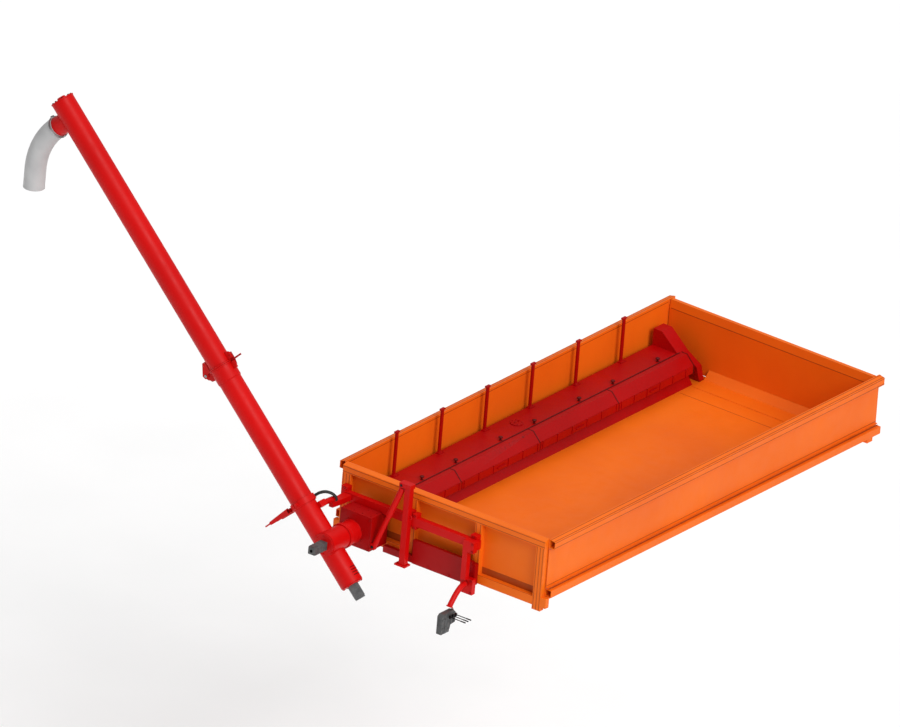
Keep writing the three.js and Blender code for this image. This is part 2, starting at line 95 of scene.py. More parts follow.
camera_data = bpy.data.cameras.new("camera")
camera_data.type = "ORTHO"
camera_data.ortho_scale = FRAME_WIDTH
camera_data.clip_end = 100
camera = bpy.data.objects.new("camera", camera_data)
bpy.context.scene.collection.objects.link(camera)
camera.matrix_world = Matrix.Translation(
    RIGHT * CAMERA_RIGHT + UP * CAMERA_UP + BACK * CAMERA_DISTANCE
) @ Matrix((RIGHT, UP, BACK)).transposed().to_4x4()
bpy.context.scene.camera = camera
bpy.context.scene.view_settings.view_transform = "Standard"


# ---------------------------------------------------------------- materials
def srgb(*values):
    """Linear colour from 0-255 display values."""
    shares = [v / 255 for v in values]
    return (*[s / 12.92 if s <= 0.04045 else ((s + 0.055) / 1.055) ** 2.4 for s in shares], 1)


class Finish:
    """A procedural material, built round one Principled shader."""

    def __init__(self, name):
        self.material = bpy.data.materials.new(name)
        self.material.use_nodes = True
        self.tree = self.material.node_tree
        self.shader = self.tree.nodes["Principled BSDF"]
        self.place = self.node("TexCoord").outputs["Object"]
        self.height = None

    def node(self, kind):
        return self.tree.nodes.new("ShaderNode" + kind)

    def link(self, source, target):
        self.tree.links.new(source, target)

    def noise(self, scale, detail=2, stretch=None):
        texture = self.node("TexNoise")
        texture.inputs["Scale"].default_value = scale
        texture.inputs["Detail"].default_value = detail
        place = self.place
        if stretch:
            mapping = self.node("Mapping")
            mapping.inputs["Scale"].default_value = stretch
            self.link(place, mapping.inputs["Vector"])
            place = mapping.outputs["Vector"]
        self.link(place, texture.inputs["Vector"])
        return texture.outputs["Fac"]

    def spread(self, value, low, high, start=0.3, end=0.7):
        """value's range start..end becomes low..high."""
        node = self.node("MapRange")
        node.inputs["From Min"].default_value = start
        node.inputs["From Max"].default_value = end
        node.inputs["To Min"].default_value = low
        node.inputs["To Max"].default_value = high
        self.link(value, node.inputs["Value"])
        return node.outputs["Result"]

    def times(self, a, b):
        node = self.node("Math")
        node.operation = "MULTIPLY"
        self.link(a, node.inputs[0])
        self.link(b, node.inputs[1])
        return node.outputs["Value"]

    def mix(self, factor, a, b):
        """Colour a to b; each is a colour or a socket."""
        node = self.node("Mix")
        node.data_type = "RGBA"
        self.link(factor, node.inputs[0])
        for value, index in ((a, 6), (b, 7)):
            if isinstance(value, tuple):
                node.inputs[index].default_value = value
            else:
                self.link(value, node.inputs[index])
        return node.outputs[2]

    def edges(self, radius):
        """1 along sharp edges, 0 on flat faces."""
        bevel = self.node("Bevel")
        bevel.samples = 4
        bevel.inputs["Radius"].default_value = radius
        dot = self.node("VectorMath")
        dot.operation = "DOT_PRODUCT"
        self.link(bevel.outputs["Normal"], dot.inputs[0])
        self.link(self.node("NewGeometry").outputs["True Normal"], dot.inputs[1])
        return self.spread(dot.outputs["Value"], 1, 0, 0.86, 0.99)

    def bump(self, value, distance, strength=1.0):
        node = self.node("Bump")
        node.inputs["Strength"].default_value = strength
        node.inputs["Distance"].default_value = distance
        self.link(value, node.inputs["Height"])
        if self.height:
            self.link(self.height, node.inputs["Normal"])
        self.height = node.outputs["Normal"]
        self.link(self.height, self.shader.inputs["Normal"])

    def set(self, **values):
        for key, value in values.items():
            self.shader.inputs[key.replace("_", " ")].default_value = value


def paint(name, colour, shade, worn):
    """Sprayed enamel: a slow drift of colour, orange peel, and edges rubbed thin."""
    finish = Finish(name)
    drift = finish.spread(finish.noise(1.3, 4), 0, 1)
    base = finish.mix(drift, colour, shade)
    streaks = finish.spread(finish.noise(6, 5, (1, 1, 0.25)), 0, 0.35, 0.52, 0.75)
    base = finish.mix(streaks, base, shade)
    patches = finish.spread(finish.noise(26, 6), 0, 0.8, 0.5, 0.62)
    rubbed = finish.times(finish.edges(0.004), patches)
    base = finish.mix(rubbed, base, worn)
    finish.link(base, finish.shader.inputs["Base Color"])
    finish.link(finish.spread(finish.noise(9, 5), 0.34, 0.52), finish.shader.inputs["Roughness"])
    finish.set(Specular_IOR_Level=0.16)
    finish.bump(finish.noise(2.2, 2), 0.0022)
    finish.bump(finish.noise(420, 2), 0.00012)
    return finish.material


def bare_steel(name, colour, dark, roughness):
    """Worked steel with drawn scratches and a dull film."""
    finish = Finish(name)
    film = finish.spread(finish.noise(14, 6), 0, 1)
    finish.link(finish.mix(film, colour, dark), finish.shader.inputs["Base Color"])
    scratches = finish.noise(160, 3, (1, 1, 0.06))
    finish.link(finish.spread(scratches, roughness, roughness + 0.2), finish.shader.inputs["Roughness"])
    finish.set(Metallic=1.0)
    finish.bump(scratches, 0.0002)
    return finish.material


def casting(name, colour, dark):
    """Cast iron under grey paint: a coarse skin and darker patches at random."""
    finish = Finish(name)
    grime = finish.spread(finish.noise(22, 6), 0, 1, 0.35, 0.65)
    base = finish.mix(grime, colour, dark)
    patches = finish.spread(finish.noise(60, 4), 0, 0.8, 0.45, 0.6)
    rubbed = finish.times(finish.edges(0.003), patches)
    base = finish.mix(rubbed, base, srgb(124, 124, 124))
    finish.link(base, finish.shader.inputs["Base Color"])
    finish.link(finish.spread(finish.noise(30, 3), 0.42, 0.62), finish.shader.inputs["Roughness"])
    finish.set(Metallic=0.1)
    finish.bump(finish.noise(260, 4), 0.0006)
    return finish.material


def hose_skin(name, colour, dark, roughness, rib_scale, rib_depth):
    """Moulded hose with a fine cloth mark, scuffs and dust."""
    finish = Finish(name)
    dust = finish.spread(finish.noise(5, 6), 0, 1)
    finish.link(finish.mix(dust, colour, dark), finish.shader.inputs["Base Color"])
    scuffs = finish.spread(finish.noise(18, 4), roughness, roughness + 0.15)
    finish.link(scuffs, finish.shader.inputs["Roughness"])
    finish.bump(finish.noise(rib_scale, 1), rib_depth)
    return finish.material


orange = paint("orange_paint", srgb(241, 111, 18), srgb(232, 102, 16), srgb(184, 80, 26))
red = paint("red_paint", srgb(208, 5, 4), srgb(194, 4, 4), srgb(124, 16, 14))
dark_red = paint("dark_red_paint", srgb(172, 3, 5), srgb(156, 2, 4), srgb(98, 12, 12))
steel = bare_steel("worn_steel", srgb(176, 176, 178), srgb(120, 118, 116), 0.28)
black_steel = bare_steel("black_steel", srgb(60, 60, 62), srgb(34, 33, 32), 0.4)
iron = casting("motor_grey", srgb(86, 86, 86), srgb(64, 64, 65))
spout_skin = hose_skin("spout_grey", srgb(192, 192, 192), srgb(176, 176, 177), 0.42, 90, 0.0006)
hose_rubber = hose_skin("hose_black", srgb(10, 10, 10), srgb(20, 20, 20), 0.5, 380, 0.0005)
# Painted shade: a dark orange for the lines, strips and rods that stand for shade in the body's folds,
# joints, gaps and recess.
painted_shade_orange = paint("orange_painted_shade", srgb(176, 74, 18), srgb(158, 64, 16), srgb(120, 60, 30))
# A very dark red for the knobs, and painted shade on the ridge hinge, the hood joints and the drain
# slots.
dark_red_and_painted_shade = paint("red_dark_and_painted_shade", srgb(98, 6, 8), srgb(84, 5, 7), srgb(60, 14, 14))
SLOTS = {
    "orange_paint": orange,
    "red_paint": red,
    "dark_red_paint": dark_red,
    "worn_steel": steel,
    "motor_grey": iron,
    "spout_grey": spout_skin,
    "hose_black": hose_rubber,
}


# ---------------------------------------------------------------- mesh helpers
def same(a, b, c):
    return Vector((a, b, c))


def skin(mesh, rows):
    """Joins closed rows of vertices, each to the next."""
    for a, b in zip(rows, rows[1:]):
        for i in range(len(a)):
            k = (i + 1) % len(a)
            mesh.faces.new((a[i], a[k], b[k], b[i]))


def loft(mesh, rows):
    """A solid through closed rows of points, with a flat cap at each end."""
    rows = [[mesh.verts.new(point) for point in row] for row in rows]
    skin(mesh, rows)
    mesh.faces.new(rows[0][::-1])
    mesh.faces.new(rows[-1])


def prism(mesh, outline, low, high, place=same):
    """An outline of (a, b) points, raised from c = low to high; place(a, b, c) gives each point."""
    loft(mesh, [[place(a, b, c) for a, b in outline] for c in (low, high)])


def along_x(a, b, c):
    return Vector((c, a, b))


def block(mesh, x, y, z, place=same):
    """A box from ranges of the three coordinates."""
    prism(mesh, [(x[0], y[0]), (x[1], y[0]), (x[1], y[1]), (x[0], y[1])], z[0], z[1], place)


def square_to(axis):
    side = axis.cross(Z if abs(axis.z) < 0.9 else X).normalized()
    return side, axis.cross(side)


def circle(centre, axis, radius, count=72, turn=0.0):
    """Points evenly round an axis, the first one turned by turn."""
    a, b = square_to(axis)
    return [
        centre + (a * math.cos(t) + b * math.sin(t)) * radius
        for t in (turn + 2 * math.pi * i / count for i in range(count))
    ]


def revolve(mesh, centre, axis, profile, sides=64, ring=False):
    """Turns (radius, height) points about axis; a ring's last point joins its first."""
    rows = []
    for radius, height in profile:
        if radius == 0:
            rows.append([mesh.verts.new(centre + axis * height)])
            continue
        rows.append([mesh.verts.new(p) for p in circle(centre + axis * height, axis, radius, sides)])
    pairs = list(zip(rows, rows[1:]))
    if ring:
        pairs.append((rows[-1], rows[0]))
    for low, high in pairs:
        for i in range(sides):
            k = (i + 1) % sides
            corners = [low[i % len(low)], low[k % len(low)], high[k % len(high)], high[i % len(high)]]
            mesh.faces.new(list(dict.fromkeys(corners)))


def pipe(mesh, centre, axis, low, high, outer, inner, sides=64, edge=0.001):
    """A straight tube with a small chamfer at its ends."""
    revolve(mesh, centre, axis, [
        (outer, low + edge), (outer - edge, low), (inner, low), (inner, high),
        (outer - edge, high), (outer, high - edge),
    ], sides, ring=True)


def barrel(mesh, centre, axis, low, high, radius, sides=48, edge=0.0015):
    """A solid cylinder with a small chamfer at its ends."""
    revolve(mesh, centre, axis, [
        (0, low), (radius - edge, low), (radius, low + edge), (radius, high - edge),
        (radius - edge, high), (0, high),
    ], sides)


def bolt(mesh, centre, axis, size):
    """A hexagon head on a washer; size is the head's radius."""
    barrel(mesh, centre, axis, -0.001, size * 0.22, size * 1.45, 20, size * 0.05)
    revolve(mesh, centre, axis, [
        (0, 0), (size, size * 0.2), (size, size * 0.85), (size * 0.86, size), (0, size),
    ], 6)


def sweep(mesh, path, radius_at, sides=20, hollow=0.0):
    """A tube along a smooth list of points; radius_at(share along it) gives the radius."""
    rings, inside = [], []
    side = None
    last = len(path) - 1
    for i, point in enumerate(path):
        ahead = (path[min(i + 1, last)] - path[max(i - 1, 0)]).normalized()
        side = square_to(ahead)[0] if side is None else (side - ahead * side.dot(ahead)).normalized()
        other = ahead.cross(side)
        radius = radius_at(i / last)
        for rows, r in ((rings, radius), (inside, radius - hollow)):
            rows.append([
                mesh.verts.new(point + (side * math.cos(t) + other * math.sin(t)) * r)
                for t in (2 * math.pi * k / sides for k in range(sides))
            ] if rows is rings or hollow else [])

    skin(mesh, rings)
    if hollow:
        skin(mesh, inside[::-1])
        skin(mesh, [inside[0], rings[0]])
        skin(mesh, [rings[-1], inside[-1]])
    else:
        mesh.faces.new(rings[0][::-1])
        mesh.faces.new(rings[-1])


def smooth_path(points, per_step=6):
    """Catmull-Rom points through the given ones."""
    points = [Vector(p) for p in points]
    full = [points[0] * 2 - points[1], *points, points[-1] * 2 - points[-2]]
    path = []
    for a, b, c, d in zip(full, full[1:], full[2:], full[3:]):
        for i in range(per_step):
            s = i / per_step
            square = (2 * a - 5 * b + 4 * c - d) * s ** 2
            cube = (3 * b - a - 3 * c + d) * s ** 3
            path.append(0.5 * (2 * b + (c - a) * s + square + cube))
    return [*path, points[-1]]


weld_random = random.Random(7)


def weld(mesh, path, radius=0.0035, closed=False):
    """A weld bead along a path, with the small ripple of each pass."""
    if closed:
        path = [*path, path[0]]
    ripple = [radius * weld_random.uniform(0.85, 1.15) for _ in path]
    last = len(path) - 1
    sweep(mesh, path, lambda s: ripple[round(s * last)], 8)


def line(a, b, step=0.012):
    a, b = Vector(a), Vector(b)
    count = max(2, round((b - a).length / step))
    return [a.lerp(b, i / count) for i in range(count + 1)]


def piece(name, build, slot, body, replaced=(), bevel=0.0, material=None):
    """Builds one mesh piece, gives it its finish and lets it ride on its body."""
    mesh = bmesh.new()
    build(mesh)
    bmesh.ops.recalc_face_normals(mesh, faces=mesh.faces)
    data = bpy.data.meshes.new(name)
    mesh.to_mesh(data)
    mesh.free()
    data.materials.append(material or SLOTS[slot])
    data.shade_smooth()
    data.set_sharp_from_angle(angle=SMOOTH_ANGLE)
    made = bpy.data.objects.new(name, data)
    bpy.context.scene.collection.objects.link(made)
    if bevel:
        soften(made, bevel)
    if body:
        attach(made, body)
    if replaced:
        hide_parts(*replaced)
    return made


def soften(made, width):
    """Rounds the sharp edges by width."""
    bevel = made.modifiers.new("bevel", "BEVEL")
    bevel.width = width
    bevel.segments = 2
    bevel.limit_method = "ANGLE"
    bevel.angle_limit = SMOOTH_ANGLE
    bevel.harden_normals = True


def body_of(node):
    return nodes[node]["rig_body"]


# ---------------------------------------------------------------- carried-over CAD nodes
EDGE = {"orange_paint": 0.003, "red_paint": 0.002, "dark_red_paint": 0.002, "motor_grey": 0.003}
for entry in frame["record"]["subparts"]:
    cad = nodes[entry["node"]]
    cad.data.materials.clear()
    cad.data.materials.append(SLOTS[entry["material_slot"]])
    merge = cad.modifiers.new("merge", "WELD")
    merge.merge_threshold = 0.00002
    if entry["material_slot"] in EDGE:
        soften(cad, EDGE[entry["material_slot"]])


# ---------------------------------------------------------------- discharge auger frame
T = Vector(joints["lower_auger_turn"]["axis"]).normalized()
P = T.cross(X)
ORIGIN = Vector(joints["lower_auger_turn"]["pos_m"])


def auger(x, p, t):
    return ORIGIN + X * x + P * p + T * t


def auger_range(node, axis):
    """Lowest and highest place of a CAD node along an axis of the auger frame."""
    places = [(v.co - ORIGIN).dot(axis) for v in nodes[node].data.vertices]
    return min(places), max(places)


def across_x(a, b, c):
    """Outlines of (p, t), raised along x."""
    return auger(c, a, b)


SWING = Vector(joints["auger_swing"]["pos_m"]) - ORIGIN
FOLD = Vector(joints["auger_fold"]["pos_m"]) - ORIGIN
SPOUT = Vector(joints["spout_swivel"]["pos_m"]) - ORIGIN
INLET_P = SWING.dot(P)
FOLD_P, FOLD_T = FOLD.dot(P), FOLD.dot(T)
SPOUT_T = SPOUT.dot(T)
FOOT_T = auger_range("lower_tube", T)[0]
HEAD_T = auger_range("upper_tube", T)[1]
LOWER_END = FOLD_T - 0.001
UPPER_START = FOLD_T + 0.001
FLANGE_DEPTH = 0.012
TUBE_R = (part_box("horizontal_tube")[1].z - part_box("horizontal_tube")[0].z) / 2
WALL = 0.0045
INLET_X = (auger_range("lower_tube", X)[0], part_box("horizontal_tube")[0].x - ORIGIN.x - 0.002)
SLEEVE_R = TUBE_R + 0.007
SLEEVE_LENGTH = 0.144
FLANGE_R = TUBE_R + 0.016
STUB_R, STUB_BORE_R, STUB_END = 0.0935, 0.089, 0.232  # spout stub


def crossing(radius, other, offset, reach):
    """Where a pipe along x at p = offset meets the tube's surface, on the side of reach's sign."""
    points = []
    for i in range(96):
        angle = 2 * math.pi * i / 96
        p = offset + other * math.cos(angle)
        t = other * math.sin(angle)
        if abs(p) < radius:
            points.append(auger(math.copysign(math.sqrt(radius ** 2 - p ** 2), reach), p, t))
    return points


def lower_tube_mesh(mesh):
    pipe(mesh, ORIGIN, T, FOOT_T, LOWER_END, TUBE_R, TUBE_R - WALL, 96)
    pipe(mesh, ORIGIN, T, LOWER_END - SLEEVE_LENGTH, LOWER_END, SLEEVE_R, TUBE_R - 0.002, 96, 0.003)
    pipe(mesh, ORIGIN, T, LOWER_END - FLANGE_DEPTH, LOWER_END, FLANGE_R, TUBE_R - 0.002, 96, 0.002)
    pipe(mesh, auger(0, INLET_P, 0), X, *INLET_X, TUBE_R, TUBE_R - WALL, 96)


def lower_lugs(mesh):
    """Two hinge plates, the lug for the lock arm and the lug of the latch."""
    lug = [
        (0.098, LOWER_END - 0.084), (0.098, LOWER_END - 0.004), (0.135, LOWER_END - 0.001),
        (0.148, LOWER_END + 0.020), (0.190, LOWER_END + 0.020), (0.194, LOWER_END - 0.024),
        (0.178, LOWER_END - 0.044), (0.160, LOWER_END - 0.056), (0.150, LOWER_END - 0.074),
    ]
    for low, high in ((0.044, 0.054), (-0.054, -0.044)):
        prism(mesh, lug, low, high, across_x)
    edge = INLET_X[1] - 0.004
    prism(mesh, [
        (0.030, -0.146), (edge, -0.146), (edge, -0.084), (0.068, -0.084), (0.030, -0.1045),
    ], 0.312, 0.372, auger)
    block(mesh, (-0.006, 0.006), (-0.168, -0.112), (LOWER_END - 0.084, LOWER_END - 0.014), auger)


def lower_welds(mesh):
    foot = auger(0, 0, LOWER_END - SLEEVE_LENGTH - 0.002)
    weld(mesh, circle(foot, T, TUBE_R + 0.001), 0.004, closed=True)
    for side in (-1, 1):
        weld(mesh, crossing(TUBE_R, TUBE_R, INLET_P, side), 0.004)


piece("lower_tube_skin", lower_tube_mesh, "red_paint", "discharge_lower", ["lower_tube"])
piece("lower_tube_lugs", lower_lugs, "red_paint", "discharge_lower", bevel=0.0015)
piece("lower_tube_welds", lower_welds, "red_paint", "discharge_lower")


def upper_tube_mesh(mesh):
    pipe(mesh, ORIGIN, T, UPPER_START, HEAD_T, TUBE_R, TUBE_R - WALL, 96)
    flange = UPPER_START + FLANGE_DEPTH
    pipe(mesh, ORIGIN, T, UPPER_START, flange, FLANGE_R, TUBE_R - 0.002, 96, 0.002)
    pipe(mesh, auger(0, 0, SPOUT_T), P, 0.060, STUB_END, STUB_R, STUB_BORE_R, 80)


def upper_lugs(mesh):
    """Two hinge plates outside the lower ones, and the bracket that holds the latch."""
    lug = [
        (0.096, UPPER_START + 0.114), (0.096, UPPER_START + 0.004), (0.135, UPPER_START + 0.001),
        (0.148, UPPER_START - 0.022), (0.196, UPPER_START - 0.022), (0.206, UPPER_START + 0.014),
        (0.130, UPPER_START + 0.114),
    ]
    for low, high in ((0.056, 0.066), (-0.066, -0.056)):
        prism(mesh, lug, low, high, across_x)
    bracket = [
        (-0.106, UPPER_START + 0.088), (-0.106, UPPER_START + 0.014), (-0.172, UPPER_START + 0.014),
        (-0.172, UPPER_START + 0.058), (-0.164, UPPER_START + 0.074), (-0.148, UPPER_START + 0.084),
        (-0.130, UPPER_START + 0.088),
    ]
    prism(mesh, bracket, -0.006, 0.006, across_x)
    barrel(mesh, auger(0, -0.150, UPPER_START + 0.044), X, -0.006, 0.020, 0.008, 20)


def upper_welds(mesh):
    weld(mesh, circle(auger(0, 0, UPPER_START + 0.0135), T, TUBE_R + 0.001), closed=True)
    stub = []
    for i in range(80):
        angle = 2 * math.pi * i / 80
        x = STUB_R * math.cos(angle)
        stub.append(auger(x, math.sqrt(TUBE_R ** 2 - x ** 2), SPOUT_T + STUB_R * math.sin(angle)))
    weld(mesh, stub, 0.004, closed=True)
    weld(mesh, circle(auger(0, 0, HEAD_T - 0.0005), T, TUBE_R + 0.0005), 0.003, closed=True)


piece("upper_tube_skin", upper_tube_mesh, "red_paint", "discharge_upper", ["upper_tube"])
piece("upper_tube_lugs", upper_lugs, "red_paint", "discharge_upper", bevel=0.0015)
piece("upper_tube_welds", upper_welds, "red_paint", "discharge_upper")


# ---------------------------------------------------------------- spout
BEND = 0.680
SPOUT_R, SPOUT_WALL = 0.1005, 0.0045


def spout_path():
    """Straight off the stub, then a bend of 45 degrees, then plumb down."""
    points = [auger(0, 0.200, SPOUT_T), auger(0, 0.216, SPOUT_T)]
    for i in range(25):
        angle = (i / 24) * math.pi / 4
        out, down = BEND * math.sin(angle), BEND * (1 - math.cos(angle))
        points.append(auger(0, STUB_END + out, SPOUT_T - down))
    end = points[-1]
    for run in range(1, 10):
        points.append(end - Z * run * 0.02)
    return points


def spout_radius(share):
    """Even, with a rolled lip at the mouth."""
    return SPOUT_R + 0.0012 * math.exp(-((share - 1) / 0.02) ** 2)


def spout_mesh(mesh):
    sweep(mesh, spout_path(), spout_radius, 72, hollow=SPOUT_WALL)


def clamp_mesh(mesh):
    """A beaded band with its screw."""
    stub = auger(0, 0, SPOUT_T)
    revolve(mesh, stub, P, [
        (0.1035, 0.204), (0.1085, 0.2045), (0.1085, 0.2065), (0.1065, 0.2075), (0.1065, 0.2185),
        (0.1085, 0.2195), (0.1085, 0.2215), (0.1035, 0.222),
    ], 96, ring=True)
    barrel(mesh, auger(0.003, 0.213, SPOUT_T + 0.113), X, -0.022, 0.024, 0.0055, 16)
    block(mesh, (-0.012, 0.012), (0.205, 0.221), (SPOUT_T + 0.104, SPOUT_T + 0.116), auger)


piece("spout_hose_skin", spout_mesh, "spout_grey", "spout", ["spout_hose"])
piece("spout_band", clamp_mesh, "worn_steel", "spout", ["spout_clamp"])


# ---------------------------------------------------------------- discharge auger fittings
def motor_mesh(mesh, place, axis, half, reach):
    """A square gear motor whose height c runs outward along axis from its flange."""
    mouth = 0.010
    block(mesh, (-half, half), (-half, half), (mouth, reach - 0.012), place)
    cap = half - 0.003
    block(mesh, (-cap, cap), (-cap, cap), (reach - 0.0125, reach), place)
    for seam in (0.35, 0.62):
        height = mouth + (reach - mouth) * seam
        rim = half + 0.0012
        block(mesh, (-rim, rim), (-rim, rim), (height, height + 0.004), place)
    barrel(mesh, place(0, 0, 0), axis, reach - 0.013, reach, cap * 0.5, 32)


def motor_fittings(mesh, place, axis, half, reach):
    """Cap bolts and the two hydraulic ports of a motor."""
    corner = half * 0.72
    for a in (-corner, corner):
        for b in (-corner, corner):
            barrel(mesh, place(a, b, reach - 0.014), axis, 0, 0.0138, 0.006, 16, 0.001)
    side = (place(1, 0, 0) - place(0, 0, 0)).normalized()
    for height in (0.045, 0.085):
        barrel(mesh, place(half - 0.002, 0, height), side, 0, 0.009, 0.013, 24)


def foot_motor_place(a, b, c):
    return auger((a - b) * math.sqrt(0.5), (a + b) * math.sqrt(0.5), FOOT_T - c)


def side_motor_place(a, b, c):
    return auger(INLET_X[0] - c, INLET_P + (a - b) * math.sqrt(0.5), (a + b) * math.sqrt(0.5))


def motor(name, node, place, axis, corner_radius):
    """The motor itself, its small fittings and the red end plate that it is bolted to."""
    start = place(0, 0, 0)
    reach = auger_range(node, axis)[1] - (start - ORIGIN).dot(axis)
    half = corner_radius * math.sqrt(0.5)
    piece(name + "_case", lambda m: motor_mesh(m, place, axis, half, reach), "motor_grey",
          "discharge_lower", [node], bevel=0.0025)
    piece(name + "_fittings", lambda m: motor_fittings(m, place, axis, half, reach), "motor_grey",
          "discharge_lower", material=black_steel)

    def plate(mesh):
        face = 0.0125
        barrel(mesh, start, axis, 0.0006, face, TUBE_R - 0.004, 96, 0.002)
        for i in range(6):
            angle = math.pi / 6 + i * math.pi / 3
            offset = [(TUBE_R - 0.018) * math.cos(angle), (TUBE_R - 0.018) * math.sin(angle)]
            bolt(mesh, place(*offset, face), axis, 0.0075)

    piece(name + "_plate", plate, "red_paint", "discharge_lower")


motor("foot_motor", "lower_motor", foot_motor_place, -T, 0.070)
motor("side_motor", "floor_motor", side_motor_place, -X, 0.054)


def bolt_ring(mesh, centre, axis, radius, count, size, turn=0.0):
    for place in circle(centre, axis, radius, count, turn):
        bolt(mesh, place, axis, size)


def top_plate(mesh):
    """The end plate of the upper tube with its bearing hub."""
    revolve(mesh, auger(0, 0, HEAD_T), T, [
        (0, 0.0005), (0.1120, 0.0005), (0.1135, 0.002), (0.1135, 0.0105), (0.1120, 0.012),
        (0.060, 0.012), (0.052, 0.016), (0.042, 0.018), (0.040, 0.030), (0.034, 0.034), (0, 0.034),
    ], 96)


def top_bolts(mesh):
    bolt_ring(mesh, auger(0, 0, HEAD_T + 0.012), T, 0.092, 8, 0.009)
    barrel(mesh, auger(0, 0, HEAD_T), T, 0.0335, 0.0338, 0.024, 32, 0.0001)


def hinge_pin(mesh):
    low, high = auger_range("fold_hinge_pin", X)
    barrel(mesh, auger(0, FOLD_P, FOLD_T), X, low + 0.003, high - 0.003, 0.014, 32, 0.002)
    for side, edge in ((1, high), (-1, -low)):
        barrel(mesh, auger(0, FOLD_P, FOLD_T), X * side, edge - 0.006, edge, 0.0155, 6, 0.001)


def flange_bolts(mesh, face, axis):
    """Bolts all round the fold flange, clear of the hinge plates and the latch."""
    for i in range(12):
        angle = math.radians(15 + 30 * i)
        x, p = math.cos(angle), math.sin(angle)
        if abs(p) < 0.9:
            bolt(mesh, auger(x * 0.1175, p * 0.1175, face), axis, 0.005)


SADDLE_T = 0.440  # middle of the clamp and its cradle, along the tube


def saddle_ring(mesh):
    """The clamp round the tube that carries the cradle: two half bands with bolted ears."""
    revolve(mesh, ORIGIN, T, [
        (0.1100, 0.410), (0.1215, 0.410), (0.1235, 0.413),
        (0.1235, 0.467), (0.1215, 0.470), (0.1100, 0.470),
    ], 96, ring=True)
    for side in (-1, 1):
        for low in (-0.040, -0.006):
            block(mesh, sorted((side * 0.118, side * 0.150)), (low, low + 0.026), (0.425, 0.455), auger)
        bolt(mesh, auger(side * 0.137, -0.0405, SADDLE_T), -P, 0.008)
        barrel(mesh, auger(side * 0.137, 0, SADDLE_T), P, -0.040, 0.020, 0.006, 16)


def cradle(mesh):
    """Two prongs joined by a bridge, with a pointed locking pin at the end of each."""
    for side in (-1, 1):
        x = sorted((side * 0.080, side * 0.096))
        prism(mesh, [
            (0.128, 0.412), (0.140, 0.412), (0.392, 0.424), (0.402, 0.432),
            (0.402, 0.448), (0.392, 0.456), (0.140, 0.468), (0.128, 0.468),
        ], x[0], x[1], across_x)
        revolve(mesh, auger(side * 0.088, 0, SADDLE_T), P, [
            (0, 0.398), (0.007, 0.398), (0.007, 0.462), (0.003, 0.470), (0, 0.470),
        ], 24)
    block(mesh, (-0.096, 0.096), (0.128, 0.140), (0.420, 0.460), auger)


piece("top_bearing_plate", top_plate, "red_paint", "discharge_upper", ["top_bearing"])
piece("top_bearing_bolts", top_bolts, "worn_steel", "discharge_upper", material=black_steel)
piece("fold_pin", hinge_pin, "worn_steel", body_of("fold_hinge_pin"), ["fold_hinge_pin"])
piece("saddle_ring", saddle_ring, "red_paint", "discharge_lower", ["clamp_ring"], bevel=0.001)
piece("cradle_prongs", cradle, "red_paint", "discharge_lower", ["fold_cradle"], bevel=0.0015)


# ---------------------------------------------------------------- fixed tube, collar and box
SWING_AXIS = ORIGIN + SWING


def fixed_tube(mesh):
    low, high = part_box("horizontal_tube")
    pipe(mesh, SWING_AXIS, X, low.x - SWING_AXIS.x, high.x - SWING_AXIS.x, TUBE_R, TUBE_R - WALL, 96)


def fixed_tube_welds(mesh):
    end = Vector((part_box("horizontal_tube")[1].x - 0.001, SWING_AXIS.y, SWING_AXIS.z))
    weld(mesh, circle(end, X, TUBE_R + 0.002), 0.0045, closed=True)


def collar(mesh):
    """A split band over the joint of the two tubes, drawn together by a bolt below."""
    low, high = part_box("swivel_collar")
    a, b = low.x - SWING_AXIS.x, high.x - SWING_AXIS.x
    outer, inner = TUBE_R + 0.011, TUBE_R + 0.0005
    revolve(mesh, SWING_AXIS, X, [
        (inner, a), (outer - 0.001, a), (outer, a + 0.001), (outer, a + 0.006),
        (outer - 0.003, a + 0.008), (outer - 0.003, b - 0.008),
        (outer, b - 0.006), (outer, b - 0.001), (outer - 0.001, b), (inner, b),
    ], 96, ring=True)
    for y in (-0.014, 0.003):
        block(mesh, (low.x + 0.005, high.x - 0.005), (SWING_AXIS.y + y, SWING_AXIS.y + y + 0.011),
              (low.z, SWING_AXIS.z - TUBE_R - 0.006))


def collar_bolt(mesh):
    low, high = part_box("swivel_collar")
    centre = Vector(((low.x + high.x) / 2, SWING_AXIS.y, low.z + 0.014))
    barrel(mesh, centre, Y, -0.014, 0.014, 0.005, 16)
    bolt(mesh, centre - Y * 0.014, -Y, 0.008)


BOX_STEP_X = -2.652  # where the box's lid steps down, at the end wall


def transfer_box_trim(mesh):
    """Bolts round the fixed tube, at the corners of that face and along the lid."""
    low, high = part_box("transfer_box")
    face = Vector((low.x, SWING_AXIS.y, SWING_AXIS.z))
    bolt_ring(mesh, face, -X, TUBE_R + 0.016, 8, 0.006, math.pi / 8)
    for y in (low.y + 0.02, high.y - 0.02):
        for z in (low.z + 0.02, high.z - 0.03):
            bolt(mesh, Vector((low.x, y, z)), -X, 0.007)
    step = (high.y - low.y - 0.06) / 3
    for x in (low.x + 0.03, BOX_STEP_X - 0.048):
        for k in range(4):
            bolt(mesh, Vector((x, low.y + 0.03 + k * step, high.z)), Z, 0.006)


def transfer_box_welds(mesh):
    low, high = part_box("transfer_box")
    step_z = high.z - 0.022
    for y in (low.y, high.y):
        weld(mesh, line((low.x, y, low.z), (low.x, y, high.z)), 0.003)
    weld(mesh, line((BOX_STEP_X, low.y, step_z), (BOX_STEP_X, high.y, step_z)), 0.003)


